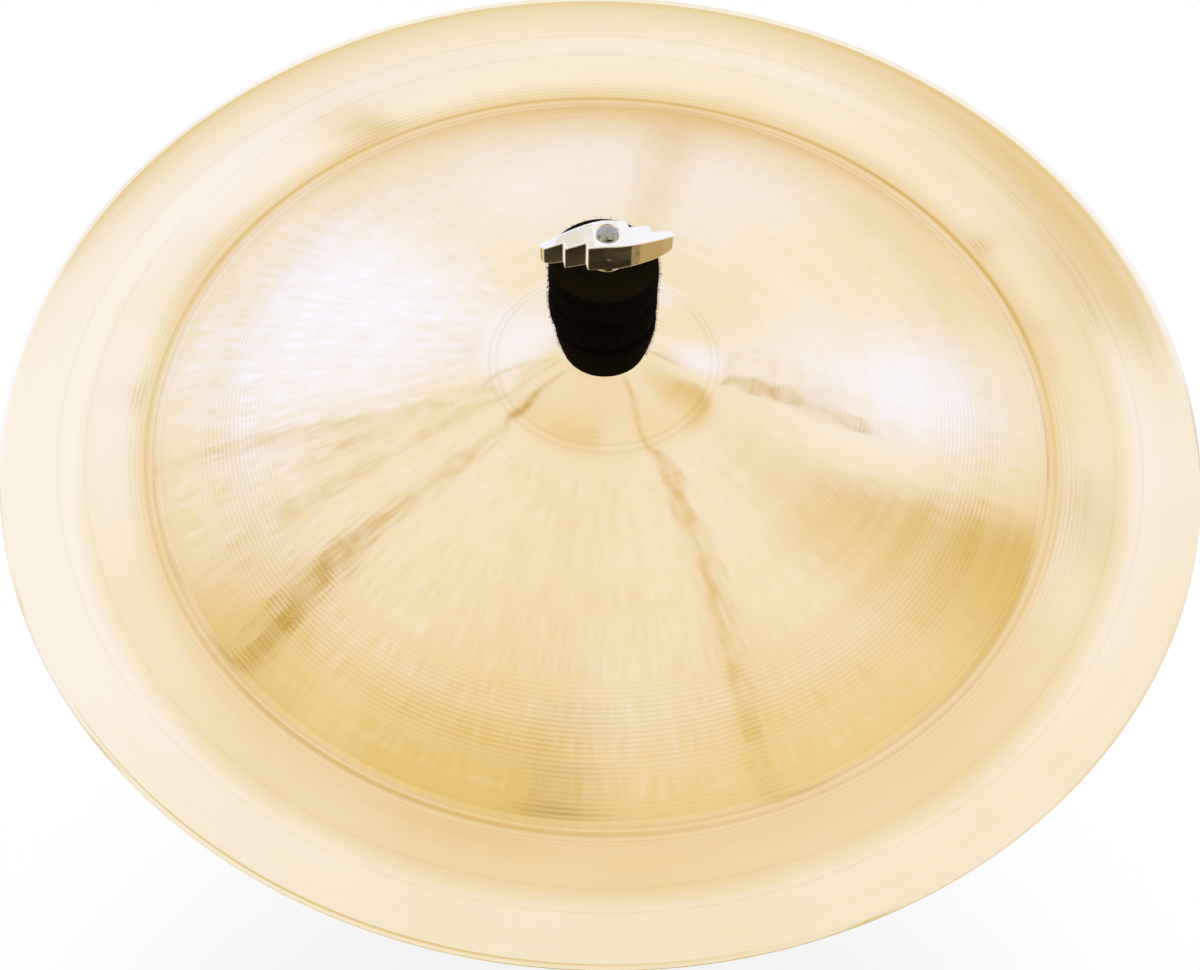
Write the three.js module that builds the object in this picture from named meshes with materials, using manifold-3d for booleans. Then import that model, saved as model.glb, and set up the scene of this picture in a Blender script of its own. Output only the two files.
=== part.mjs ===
// A china cymbal held between felts on its threaded rod, under a winged nut.
// Millimetres, +Z up. The origin is the centre of the rod's flat lower end.

import * as THREE from 'three';
import { mergeVertices } from 'three/addons/utils/BufferGeometryUtils.js';
import Module from 'manifold-3d';

const wasm = await Module();
wasm.setup();

// Clearances
const seatGap = 0.3;          // between a soft or clamped piece and what it rests on
const threadClearance = 0.3;  // between the rod and a threaded or sliding bore
const sleeveClearance = 0.3;  // between the sleeve and the felts round it
const cutOverrun = 1;         // how far a cutting or trimming body runs past its piece

// Cymbal
const cymbalRadius = 228.6;   // 18 inches across
const holeRadius = 6.25;
const bellDomeRadius = 91.5;  // radius of the shallow dome of the bell
const bellBaseRadius = 42;    // where the dome runs into the bow
const bellRise = 10.7;        // dome's top above the bow's inner end
const bowRise = 35.9;         // bow's inner end above the crease
const bowCamber = 3.5;        // how far the bow bulges above a straight cone
const creaseRadius = 176;     // valley ring where the flange turns up
const flangeRise = 15.1;      // rim above the crease
const flangeCamber = 1.5;     // how far the flange bulges above a straight cone
const bellBlend = 1.2;        // softening of the corner at the bell's base
const creaseBlend = 3.2;      // softening of the corner at the crease
const bellBlendReach = 4;     // half width of the finely stepped stretch at the bell's base
const creaseBlendReach = 7;   // half width of the finely stepped stretch at the crease
const bellWall = 1.2;         // bronze thickness at the hole
const rimWall = 0.7;          // bronze thickness at the rim

// Threaded rod
const rodRadius = 4;          // outside of an M8 thread
const rodTipProud = 1.6;      // rod's end above the crown of the wing nut
const rodFootChamfer = 0.6;
const rodTipDome = 2.6;       // height of the rounded upper end

// Seat nut
const seatNutSetting = 15.4;  // height of the nut's lower face on the rod
const seatNutAcrossFlats = 13;
const seatNutThickness = 6.5;
const seatNutChamfer = 0.9;

// Seat washer, a shallow pressed cup
const washerWall = 1.5;
const washerFloorRadius = 15.5;
const washerRimRadius = 20.6;
const washerLipRise = 3.4;
const washerBoreRadius = 4.3;

// Sleeve with a foot flange
const sleeveBoreRadius = 4.3;
const sleeveWall = 1;
const sleeveFlangeRadius = 11;
const sleeveFlangeThickness = 1.4;
const sleeveHeight = 40;

// Felts
const lowerFeltThickness = 15;
const lowerFeltRadius = 19.6;
const bellFeltFootRadius = 15.6;  // where the tapered felt meets the bell
const bellFeltHeadRadius = 18.7;
const bellFeltRise = 18.54;       // from its foot's edge to its head
const bellFeltSideBulge = 0.6;
const upperFeltThickness = 13.9;
const upperFeltRadius = 19.4;
const feltSideBulge = 0.35;
const feltEdgeRound = 1.8;

// Wing nut
const wingReach = 23.6;         // axis to wing tip
const wingBelly = 7;          // axis to the bulged edge of a wing
const wingNutHeight = 13.2;   // boss to the crown of the hub
const wingDroop = 3.6;        // crown of the hub above the wing tips
const wingLift = 1.5;         // underside of the wings above the boss's face
const wingTipWall = 3.4;      // what is left of the tip's wall above its rounded underside
const bossRadius = 6.4;
const bossEdge = 0.5;
const boreChamfer = 0.4;
const wingNutTurn = 6;        // degrees, as it was left after tightening

// Facet counts
const cymbalSegments = 96;
const feltSegments = 36;
const turnedSegments = 32;
const roundSteps = 3;
const bellSteps = 4;
const blendSteps = 4;
const bowSteps = 6;
const flangeSteps = 4;

// Heights that follow from the stack
const seatNutTop = seatNutSetting + seatNutThickness;
const washerBase = seatNutTop + seatGap;
const washerTop = washerBase + washerWall;
const sleeveFoot = washerTop + seatGap;
const sleeveFlangeTop = sleeveFoot + sleeveFlangeThickness;
const sleeveTop = sleeveFoot + sleeveHeight;
const sleeveRadius = sleeveBoreRadius + sleeveWall;
const feltBoreRadius = sleeveRadius + sleeveClearance;
const lowerFeltBase = washerTop + seatGap;
const bellUnderside = lowerFeltBase + lowerFeltThickness + seatGap;
const bellTop = bellUnderside + bellWall;
const bowTop = bellTop - bellRise;
const creaseLevel = bowTop - bowRise;
const rimLevel = creaseLevel + flangeRise;
const bellFeltFoot = domeHeight(bellFeltFootRadius) + seatGap;
const bellFeltHead = bellFeltFoot + bellFeltRise;
const middleFeltBase = bellFeltHead + seatGap;
const topFeltBase = middleFeltBase + upperFeltThickness + seatGap;
const wingNutBase = topFeltBase + upperFeltThickness + seatGap;
const wingNutCrown = wingNutBase + wingNutHeight;
const rodLength = wingNutCrown + rodTipProud;

const materials = {
  bronze: { color: 0xe9cf8f, roughness: 0.22, metalness: 1 },
  zincSteel: { color: 0xb9bcc0, roughness: 0.35, metalness: 1 },
  chrome: { color: 0xe6e7ea, roughness: 0.08, metalness: 1 },
  nylon: { color: 0x26262a, roughness: 0.5, metalness: 0 },
  felt: { color: 0x14120f, roughness: 0.95, metalness: 0 },
};

const cymbalAssembly = new THREE.Group();

function addPart(name, geometry, finish) {
  const mesh = new THREE.Mesh(geometry, new THREE.MeshStandardMaterial(materials[finish]));
  mesh.name = name;
  cymbalAssembly.add(mesh);
  return mesh;
}

function point(radius, height) {
  return new THREE.Vector2(radius, height);
}

// A body of revolution about Z. The profile runs anticlockwise in the radius and height plane.
function turned(profile, segments) {
  const geometry = new THREE.LatheGeometry(profile, segments);
  geometry.rotateX(Math.PI / 2);
  return geometry;
}

// An outline in the X and Y plane, given a thickness upwards from a height.
function raised(shape, base, thickness, curveSegments) {
  const geometry = new THREE.ExtrudeGeometry(shape, {
    depth: thickness,
    bevelEnabled: false,
    curveSegments,
  });
  geometry.translate(0, 0, base);
  return geometry;
}

function toSolid(geometry) {
  const bare = geometry.clone();
  bare.deleteAttribute('normal');
  bare.deleteAttribute('uv');
  const welded = mergeVertices(bare);
  return new wasm.Manifold(new wasm.Mesh({
    numProp: 3,
    vertProperties: new Float32Array(welded.getAttribute('position').array),
    triVerts: new Uint32Array(welded.getIndex().array),
  }));
}

function toGeometry(solid) {
  const mesh = solid.getMesh();
  const geometry = new THREE.BufferGeometry();
  geometry.setAttribute('position', new THREE.BufferAttribute(mesh.vertProperties, mesh.numProp));
  geometry.setIndex(new THREE.BufferAttribute(mesh.triVerts, 1));
  geometry.computeVertexNormals();
  return geometry;
}

// Points of a rounded outer corner, from one edge to the next.
function roundedCorner(centreRadius, centreHeight, radius, fromAngle, toAngle) {
  const points = [];
  for (let step = 0; step <= roundSteps; step += 1) {
    const angle = THREE.MathUtils.lerp(fromAngle, toAngle, step / roundSteps);
    points.push(point(
      centreRadius + radius * Math.cos(angle),
      centreHeight + radius * Math.sin(angle),
    ));
  }
  return points;
}

// The larger of two heights, with the corner where they cross filled in softly.
function blendedTop(first, second, blend) {
  const overlap = Math.max(blend - Math.abs(first - second), 0) / blend;
  return Math.max(first, second) + overlap * overlap * blend / 4;
}

function domeHeight(radius) {
  const reach = Math.min(radius, bellDomeRadius);
  return bellTop - bellDomeRadius + Math.sqrt(bellDomeRadius ** 2 - reach ** 2);
}

function coneHeight(radius, inner, outer, innerHeight, outerHeight, camber) {
  const share = (radius - inner) / (outer - inner);
  const bulge = 4 * camber * share * (1 - share);
  return THREE.MathUtils.lerp(innerHeight, outerHeight, share) + bulge;
}

function cymbalTopHeight(radius) {
  const bow = coneHeight(radius, bellBaseRadius, creaseRadius, bowTop, creaseLevel, bowCamber);
  const flange = coneHeight(
    radius, creaseRadius, cymbalRadius, creaseLevel, rimLevel, flangeCamber,
  );
  if (radius < creaseRadius - 2 * creaseBlendReach) {
    return blendedTop(domeHeight(radius), bow, bellBlend);
  }
  return blendedTop(bow, flange, creaseBlend);
}

function cymbalWall(radius) {
  return THREE.MathUtils.lerp(bellWall, rimWall, radius / cymbalRadius);
}

function cymbalRadii() {
  const stations = [
    { from: holeRadius, to: bellBaseRadius - bellBlendReach, steps: bellSteps },
    { from: bellBaseRadius - bellBlendReach, to: bellBaseRadius + bellBlendReach, steps: blendSteps },
    { from: bellBaseRadius + bellBlendReach, to: creaseRadius - creaseBlendReach, steps: bowSteps },
    { from: creaseRadius - creaseBlendReach, to: creaseRadius + creaseBlendReach, steps: blendSteps },
    { from: creaseRadius + creaseBlendReach, to: cymbalRadius, steps: flangeSteps },
  ];
  const radii = [holeRadius];
  for (const { from, to, steps } of stations) {
    for (let step = 1; step <= steps; step += 1) {
      radii.push(THREE.MathUtils.lerp(from, to, step / steps));
    }
  }
  return radii;
}

function cymbal() {
  const radii = cymbalRadii();
  const underside = radii.map((radius) => (
    point(radius, cymbalTopHeight(radius) - cymbalWall(radius))
  ));
  const topside = radii.map((radius) => point(radius, cymbalTopHeight(radius))).reverse();
  return turned([...underside, ...topside, underside[0].clone()], cymbalSegments);
}

function threadedRod() {
  const domeStart = rodLength - rodTipDome;
  const profile = [
    point(0, 0),
    point(rodRadius - rodFootChamfer, 0),
    point(rodRadius, rodFootChamfer),
    point(rodRadius, domeStart),
  ];
  for (let step = 1; step < roundSteps; step += 1) {
    const angle = (Math.PI / 2) * (step / roundSteps);
    profile.push(point(rodRadius * Math.cos(angle), domeStart + rodTipDome * Math.sin(angle)));
  }
  profile.push(point(0, rodLength));
  return turned(profile, turnedSegments);
}

function hexagon(acrossFlats) {
  const cornerRadius = acrossFlats / Math.sqrt(3);
  const shape = new THREE.Shape();
  for (let corner = 0; corner < 6; corner += 1) {
    const angle = (corner * Math.PI) / 3;
    const x = cornerRadius * Math.cos(angle);
    const y = cornerRadius * Math.sin(angle);
    if (corner === 0) {
      shape.moveTo(x, y);
    } else {
      shape.lineTo(x, y);
    }
  }
  shape.closePath();
  return shape;
}

// A hexagon whose corners are turned off at both faces, with its bore.
function seatNut() {
  const cornerRadius = seatNutAcrossFlats / Math.sqrt(3);
  const cornerTurn = seatNutChamfer * Math.tan(Math.PI / 6);
  const blank = toSolid(raised(hexagon(seatNutAcrossFlats), seatNutSetting, seatNutThickness, 1));
  const turning = toSolid(turned([
    point(rodRadius + threadClearance, seatNutSetting),
    point(cornerRadius - seatNutChamfer, seatNutSetting),
    point(cornerRadius, seatNutSetting + cornerTurn),
    point(cornerRadius, seatNutTop - cornerTurn),
    point(cornerRadius - seatNutChamfer, seatNutTop),
    point(rodRadius + threadClearance, seatNutTop),
    point(rodRadius + threadClearance, seatNutSetting),
  ], turnedSegments));
  return toGeometry(blank.intersect(turning));
}

function seatWasher() {
  const lipTop = washerTop + washerLipRise;
  return turned([
    point(washerBoreRadius, washerBase),
    point(washerFloorRadius, washerBase),
    point(washerRimRadius, washerBase + washerLipRise),
    point(washerRimRadius, lipTop),
    point(washerFloorRadius, washerTop),
    point(washerBoreRadius, washerTop),
    point(washerBoreRadius, washerBase),
  ], feltSegments);
}

function sleeve() {
  return turned([
    point(sleeveBoreRadius, sleeveFoot),
    point(sleeveFlangeRadius, sleeveFoot),
    point(sleeveFlangeRadius, sleeveFlangeTop),
    point(sleeveRadius, sleeveFlangeTop),
    point(sleeveRadius, sleeveTop),
    point(sleeveBoreRadius, sleeveTop),
    point(sleeveBoreRadius, sleeveFoot),
  ], turnedSegments);
}

// Points across a felt's face that lies on the bell, from its bore to its edge.
function bellContact(edgeRadius, offset) {
  const points = [];
  for (let step = 0; step <= roundSteps; step += 1) {
    const radius = THREE.MathUtils.lerp(feltBoreRadius, edgeRadius, step / roundSteps);
    points.push(point(radius, domeHeight(radius) + offset));
  }
  return points;
}

// The felt under the bell: seated in the cup and over the sleeve's flange.
function lowerFelt() {
  const flangeRoomRadius = sleeveFlangeRadius + sleeveClearance;
  const flangeRoomTop = sleeveFlangeTop + seatGap;
  const cupSlope = washerLipRise / (washerRimRadius - washerFloorRadius);
  const seatRadius = washerFloorRadius - seatGap;
  const sideFoot = lowerFeltBase + (lowerFeltRadius - seatRadius) * cupSlope;
  const faceRadius = lowerFeltRadius - feltEdgeRound;
  const face = bellContact(faceRadius, -bellWall - seatGap).reverse();
  return turned([
    point(feltBoreRadius, flangeRoomTop),
    point(flangeRoomRadius, flangeRoomTop),
    point(flangeRoomRadius, lowerFeltBase),
    point(seatRadius, lowerFeltBase),
    point(lowerFeltRadius, sideFoot),
    point(lowerFeltRadius, face[0].y - feltEdgeRound),
    ...face,
    point(feltBoreRadius, flangeRoomTop),
  ], feltSegments);
}

// The felt above the bell, pressed narrower at its foot.
function bellFelt() {
  const headEdge = bellFeltHead - feltEdgeRound;
  const side = [];
  for (let step = 1; step <= roundSteps; step += 1) {
    const share = step / roundSteps;
    const radius = THREE.MathUtils.lerp(bellFeltFootRadius, bellFeltHeadRadius, share);
    const bulge = 4 * bellFeltSideBulge * share * (1 - share);
    side.push(point(radius + bulge, THREE.MathUtils.lerp(bellFeltFoot, headEdge, share)));
  }
  const cornerCentre = bellFeltHeadRadius - feltEdgeRound;
  const corner = roundedCorner(cornerCentre, headEdge, feltEdgeRound, 0, Math.PI / 2);
  const foot = bellContact(bellFeltFootRadius, seatGap);
  return turned([
    ...foot,
    ...side.slice(0, -1),
    ...corner,
    point(feltBoreRadius, bellFeltHead),
    foot[0].clone(),
  ], feltSegments);
}

// A plain round felt with rounded edges and a slightly bulged side.
function roundFelt(base) {
  const top = base + upperFeltThickness;
  const cornerCentre = upperFeltRadius - feltEdgeRound;
  const lowEdge = roundedCorner(
    cornerCentre, base + feltEdgeRound, feltEdgeRound, -Math.PI / 2, 0,
  );
  const highEdge = roundedCorner(
    cornerCentre, top - feltEdgeRound, feltEdgeRound, 0, Math.PI / 2,
  );
  return turned([
    point(feltBoreRadius, base),
    ...lowEdge,
    point(upperFeltRadius + feltSideBulge, (base + top) / 2),
    ...highEdge,
    point(feltBoreRadius, top),
    point(feltBoreRadius, base),
  ], feltSegments);
}

// Each wing's corners as shares of its reach along X and of its belly along Y,
// from the hub along the bulged edge to the tip and back over two teeth.
const wingRootShares = [0.08, -0.9];
const wingBellyShares = [[0.3, -0.86], [0.62, -0.52], [0.975, 0.02]];
const wingTipShares = [[1.04, 0.2], [0.94, 0.42]];
const wingToothShares = [[0.656, 0.24], [0.64, 0.66], [0.322, 0.48], [0.308, 0.86], [0.03, 0.9]];

function wingPlan() {
  const shape = new THREE.Shape();
  for (const side of [1, -1]) {
    const placed = (shares) => shares.flatMap(([x, y]) => [side * x * wingReach, side * y * wingBelly]);
    const [rootX, rootY] = placed([wingRootShares]);
    if (side === 1) {
      shape.moveTo(rootX, rootY);
    } else {
      shape.lineTo(rootX, rootY);
    }
    shape.bezierCurveTo(...placed(wingBellyShares));
    shape.quadraticCurveTo(...placed(wingTipShares));
    for (const corner of wingToothShares) {
      shape.lineTo(...placed([corner]));
    }
  }
  shape.closePath();
  return shape;
}

// The nut seen from its long side: a drooping crown above, tips rounded up below.
const crownPullShare = 0.22;
const tipRoundShare = 0.68;

function wingSideProfile() {
  const crown = wingNutCrown;
  const tipTop = crown - wingDroop;
  const wingUnderside = wingNutBase + wingLift;
  const tipX = wingReach + cutOverrun;
  const tipLow = tipTop - wingTipWall;
  const shape = new THREE.Shape();
  shape.moveTo(0, crown);
  shape.quadraticCurveTo(-crownPullShare * wingReach, crown, -tipX, tipTop);
  shape.lineTo(-tipX, tipLow);
  shape.quadraticCurveTo(-wingReach, wingUnderside, -tipRoundShare * wingReach, wingUnderside);
  shape.lineTo(tipRoundShare * wingReach, wingUnderside);
  shape.quadraticCurveTo(wingReach, wingUnderside, tipX, tipLow);
  shape.lineTo(tipX, tipTop);
  shape.quadraticCurveTo(crownPullShare * wingReach, crown, 0, crown);
  return shape;
}

function wingNut() {
  const crown = wingNutCrown;
  const boreRadius = rodRadius + threadClearance;
  const width = 2 * (wingBelly + cutOverrun);
  const planSteps = 6;
  const sideSteps = 6;
  const plan = toSolid(raised(wingPlan(), wingNutBase, wingNutHeight + cutOverrun, planSteps));
  const side = raised(wingSideProfile(), -width / 2, width, sideSteps);
  side.rotateX(Math.PI / 2);
  const wings = plan.intersect(toSolid(side));
  const boss = toSolid(turned([
    point(0, wingNutBase),
    point(bossRadius - bossEdge, wingNutBase),
    point(bossRadius, wingNutBase + bossEdge),
    point(bossRadius, wingNutBase + wingNutHeight / 2),
    point(0, wingNutBase + wingNutHeight / 2),
  ], turnedSegments));
  const bore = toSolid(turned([
    point(0, wingNutBase - cutOverrun),
    point(boreRadius, wingNutBase - cutOverrun),
    point(boreRadius, crown - boreChamfer),
    point(boreRadius + boreChamfer + cutOverrun, crown + cutOverrun),
    point(0, crown + cutOverrun),
  ], turnedSegments));
  return toGeometry(wings.add(boss).subtract(bore));
}

addPart('cymbal', cymbal(), 'bronze');
addPart('threaded_rod', threadedRod(), 'zincSteel');
addPart('seat_nut', seatNut(), 'zincSteel');
addPart('seat_washer', seatWasher(), 'zincSteel');
addPart('sleeve', sleeve(), 'nylon');
addPart('lower_felt', lowerFelt(), 'felt');
addPart('bell_felt', bellFelt(), 'felt');
addPart('middle_felt', roundFelt(middleFeltBase), 'felt');
addPart('top_felt', roundFelt(topFeltBase), 'felt');
addPart('wing_nut', wingNut(), 'chrome').rotation.z = THREE.MathUtils.degToRad(wingNutTurn);

export default cymbalAssembly;
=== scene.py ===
# %% [markdown]
# # A china cymbal between its felts
#
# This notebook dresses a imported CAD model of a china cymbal: a thin bronze plate with
# a small bell, a nearly straight bow and a wide flange that turns up at the crease.
# It is held between black felts on a threaded rod, under a chromed wing nut.
# Every length is in metres, in the CAD's own frame: +Z is up and the origin is the
# centre of the rod's lower end. So each piece is built where it belongs, and nothing
# is fitted by eye.

import math

import bmesh
import bpy
import numpy as np
from mathutils import Matrix, Vector


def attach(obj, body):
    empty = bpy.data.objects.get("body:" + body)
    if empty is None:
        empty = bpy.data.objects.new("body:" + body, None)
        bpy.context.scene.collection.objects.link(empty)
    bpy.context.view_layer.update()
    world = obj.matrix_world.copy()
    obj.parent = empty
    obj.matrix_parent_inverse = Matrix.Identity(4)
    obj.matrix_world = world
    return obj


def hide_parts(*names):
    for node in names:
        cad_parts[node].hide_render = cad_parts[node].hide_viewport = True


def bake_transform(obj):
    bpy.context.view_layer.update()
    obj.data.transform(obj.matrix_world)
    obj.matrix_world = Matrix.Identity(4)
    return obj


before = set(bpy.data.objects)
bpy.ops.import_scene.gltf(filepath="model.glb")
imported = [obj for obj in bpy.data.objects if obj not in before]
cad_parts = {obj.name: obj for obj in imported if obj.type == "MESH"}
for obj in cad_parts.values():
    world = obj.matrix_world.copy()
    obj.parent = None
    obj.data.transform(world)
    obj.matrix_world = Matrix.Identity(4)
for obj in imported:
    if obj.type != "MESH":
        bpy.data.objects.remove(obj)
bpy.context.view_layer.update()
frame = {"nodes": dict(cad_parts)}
MM = 0.001
print("nodes:", ", ".join(frame["nodes"]))

# %% [markdown]
# ## Small helpers
#
# Node trees take many lines when each socket is set by hand, so one helper adds a
# node, sets its options and feeds its inputs. A value that is itself a socket is
# linked, and any other value is written on the input. A socket knows the tree that it
# belongs to, so the tree is named only where no socket is given. The same helper
# serves both shader trees and geometry trees, and short names for the commonest nodes
# follow it.

# %% Helpers for node trees
def add_node(kind, inputs=None, tree=None, **settings):
    """Adds a node, sets its options, and links or writes its inputs."""
    inputs = inputs or {}
    linked = [value for value in inputs.values() if isinstance(value, bpy.types.NodeSocket)]
    tree = linked[0].id_data if tree is None else tree
    node = tree.nodes.new(kind)
    for name, value in settings.items():
        setattr(node, name, value)
    for name, value in inputs.items():
        if isinstance(value, bpy.types.NodeSocket):
            tree.links.new(value, node.inputs[name])
        else:
            node.inputs[name].default_value = value
    return node


def maths(operation, *values):
    """One Math node, as its output socket."""
    return add_node("ShaderNodeMath", dict(enumerate(values)), operation=operation).outputs[0]


def product(first, *others):
    """Several values multiplied, from left to right."""
    for other in others:
        first = maths("MULTIPLY", first, other)
    return first


def remap(value, low, high, to_low=0.0, to_high=1.0, kind="SMOOTHSTEP"):
    """Maps one stretch of a value to another, softly unless told otherwise."""
    return add_node("ShaderNodeMapRange", {
        "Value": value, "From Min": low, "From Max": high, "To Min": to_low, "To Max": to_high},
        interpolation_type=kind).outputs["Result"]


def noise(where, scale, detail=2.0, roughness=0.5, distortion=0.0, dimensions="3D"):
    """A Noise node's value. A noise of one dimension takes a number, not a place."""
    where_input = "W" if dimensions == "1D" else "Vector"
    node = add_node("ShaderNodeTexNoise", {
        where_input: where, "Scale": scale, "Detail": detail, "Roughness": roughness,
        "Distortion": distortion}, noise_dimensions=dimensions)
    return node.outputs["Fac"]


def new_tree(name, kind, inputs, outputs):
    """A node group with named sockets. Each input is given its default, or else its type."""
    tree = bpy.data.node_groups.new(name, kind)
    for title, value in inputs.items():
        kind_of_value = {float: "Float", int: "Int"}.get(type(value), value)
        socket = tree.interface.new_socket(
            title, in_out="INPUT", socket_type="NodeSocket" + kind_of_value)
        if kind_of_value != value:
            socket.default_value = value
    for title, kind_of_value in outputs.items():
        tree.interface.new_socket(
            title, in_out="OUTPUT", socket_type="NodeSocket" + kind_of_value)
    return tree, tree.nodes.new("NodeGroupInput").outputs, tree.nodes.new("NodeGroupOutput").inputs


# %% [markdown]
# Everything here is round, so many rules ask how far a place is from the axis, and in
# which direction it lies from there. Both come from the place without its height.

# %% Helpers for vectors
def vector_maths(operation, *vectors, output="Vector"):
    """One Vector Math node, as one of its output sockets."""
    node = add_node("ShaderNodeVectorMath", dict(enumerate(vectors)), operation=operation)
    return node.outputs[output]


def dot(first, second):
    """How far one vector reaches along another."""
    return vector_maths("DOT_PRODUCT", first, second, output="Value")


def scaled(vector, factor):
    """A vector times a number."""
    return add_node("ShaderNodeVectorMath", {0: vector, 3: factor}, operation="SCALE").outputs[0]


def upright(height):
    """A vector that points straight up."""
    return add_node("ShaderNodeCombineXYZ", {"Z": height}).outputs["Vector"]


def flattened(place):
    """A place without its height."""
    return vector_maths("MULTIPLY", place, (1, 1, 0))


def axis_distance(place):
    """How far a place is from the axis."""
    return vector_maths("LENGTH", flattened(place), output="Value")


def heading_of(place):
    """The direction in which a place lies from the axis."""
    return vector_maths("NORMALIZE", flattened(place))


# %% Helpers for shader trees
def use_group(group, place, **values):
    """Places a shared group beside a place's socket, with its own values."""
    node = add_node("ShaderNodeGroup", tree=place.id_data, node_tree=group)
    place.id_data.links.new(place, node.inputs["Vector"])
    for name, value in values.items():
        node.inputs[name.replace("_", " ")].default_value = value
    return node.outputs


def stretched(place, turn, scale):
    """A place in turned and stretched coordinates."""
    return add_node("ShaderNodeMapping", {
        "Vector": place, "Rotation": turn, "Scale": scale}).outputs["Vector"]


def blended_colour(factor, first, second):
    """One Mix node between two colours."""
    return add_node("ShaderNodeMix", {"Factor": factor, 6: first, 7: second},
                    data_type="RGBA").outputs[2]


def bump(height, distance, strength=1.0, upon=None):
    """A relief, on its own or upon another one."""
    inputs = {"Height": height, "Distance": distance, "Strength": strength}
    if upon is not None:
        inputs["Normal"] = upon
    return add_node("ShaderNodeBump", inputs).outputs["Normal"]


# %% Helpers for geometry trees
def shifted(geometry, offset):
    """A geometry with its points moved."""
    return add_node("GeometryNodeSetPosition", {
        "Geometry": geometry, "Offset": offset}).outputs["Geometry"]


def end_tree(geometry, given, result):
    """Ends a geometry tree with real geometry in the material that it is given."""
    real = add_node("GeometryNodeRealizeInstances", {"Geometry": geometry})
    finished = add_node("GeometryNodeSetMaterial", {
        "Geometry": real.outputs["Geometry"], "Material": given["Material"]})
    geometry.id_data.links.new(finished.outputs["Geometry"], result["Geometry"])


# %% Helpers for meshes
def new_object(name, mesh):
    """Puts a mesh in the scene as an object at the origin."""
    thing = bpy.data.objects.new(name, mesh)
    bpy.context.scene.collection.objects.link(thing)
    return thing


def run_tree(thing, tree, values):
    """Runs a geometry tree on an object and keeps its result as a plain mesh."""
    modifier = thing.modifiers.new(tree.name, "NODES")
    modifier.node_group = tree
    for item in tree.interface.items_tree:
        if item.in_out == "INPUT" and item.name in values:
            modifier[item.identifier] = values[item.name]
    settle(thing)


def settle(thing):
    """Replaces an object's mesh by what its modifiers make, and removes them."""
    graph = bpy.context.evaluated_depsgraph_get()
    mesh = bpy.data.meshes.new_from_object(thing.evaluated_get(graph), depsgraph=graph)
    thing.modifiers.clear()
    thing.data = mesh
    mesh.name = thing.name


def report(thing):
    """Prints a piece's size, and whether its surface is closed and faces outwards."""
    check = bmesh.new()
    check.from_mesh(thing.data)
    open_edges = sum(not edge.is_manifold for edge in check.edges)
    triangles = sum(len(face.verts) - 2 for face in check.faces)
    heights = [vertex.co.z for vertex in check.verts]
    print(f"{thing.name}: {triangles} triangles, {open_edges} open edges, "
          f"volume {check.calc_volume(signed=True) * 1e6:.2f} cm3, "
          f"z {min(heights) / MM:.2f} to {max(heights) / MM:.2f} mm")
    check.free()


# %% [markdown]
# ## The camera
#
# A real photograph has a distance, a tilt and a small roll. A near camera makes the
# front of the plate look wider than its back, so the distance matters as much as the
# angle. The camera first looks at the centre of the rim, then tips a little further
# down, because the plate sits a little high in the picture, and rolls slightly.

# %% Place the camera
rim_centre = Vector((0, 0, 9.0 * MM))
camera_distance = 700 * MM
camera_elevation = math.radians(52.54)
tip_down = math.radians(2.891)
roll = math.radians(-1.74)
picture_width = 1200
focal_pixels = 1808
sensor_width = 36

away = Vector((0, -math.cos(camera_elevation), math.sin(camera_elevation)))
camera_place = rim_centre + away * camera_distance
sideways = Vector((1, 0, 0))
tipping = Matrix.Rotation(-tip_down, 3, sideways)
forward = tipping @ -away
rolling = Matrix.Rotation(roll, 3, forward)
camera_right = rolling @ sideways
camera_up = rolling @ (tipping @ sideways.cross(-away))

camera_data = bpy.data.cameras.new("camera")
camera_data.sensor_width = sensor_width
camera_data.lens = focal_pixels / picture_width * sensor_width
camera_data.clip_start = 10 * MM
camera_data.clip_end = 20
camera = bpy.data.objects.new("camera", camera_data)
bpy.context.scene.collection.objects.link(camera)
turn = Matrix((camera_right, camera_up, -forward)).transposed().to_4x4()
camera.matrix_world = Matrix.Translation(camera_place) @ turn
bpy.context.scene.camera = camera
print(f"camera at {tuple(round(value, 3) for value in camera_place)}, "
      f"lens {camera_data.lens:.1f} mm")

# %% [markdown]
# ## The studio
#
# Polished bronze shows nothing but the room round it, so the room is the most
# important light. The world stands for a light tent: cool and bright at the back and
# sides, warm and a little darker overhead and towards the camera. Each place on the
# plate mirrors one direction of the tent. So a seam or a panel of the tent is a mark
# at a direction, and the plate shows it where it would. A mark is a short band with
# soft sides, and the narrow dark ones give the plate its thin rays.

# %% A shared group: one mark on the light tent
tent_mark, given, result = new_tree(
    "tent mark", "ShaderNodeTree",
    {"Vector": "Vector", "Start": "Vector", "End": "Vector", "Half Width": 0.02, "Softness": 0.01},
    {"Mask": "Float"},
)
from_start = vector_maths("SUBTRACT", flattened(given["Vector"]), given["Start"])
along = vector_maths("SUBTRACT", given["End"], given["Start"])
reached = maths("DIVIDE", dot(from_start, along), dot(along, along))
held = maths("MINIMUM", maths("MAXIMUM", reached, 0.0), 1.0)
off = vector_maths("DISTANCE", from_start, scaled(along, held), output="Value")
outer = maths("ADD", given["Half Width"], given["Softness"])
inner = maths("SUBTRACT", given["Half Width"], given["Softness"])
tent_mark.links.new(remap(off, inner, outer, 1.0, 0.0), result["Mask"])

# %% [markdown]
# The tent is darker low in the front, where a real room has its floor and the
# photographer. A black flag stands there too, for the dark front faces of the wing
# nut, and the dark shape above it is the camera itself. The camera sees a white
# backdrop instead of the tent, through Light Path.

# %% The light tent
world = bpy.data.worlds.new("light tent")
bpy.context.scene.world = world
world.use_nodes = True
tent = world.node_tree
tent.nodes.clear()

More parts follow.
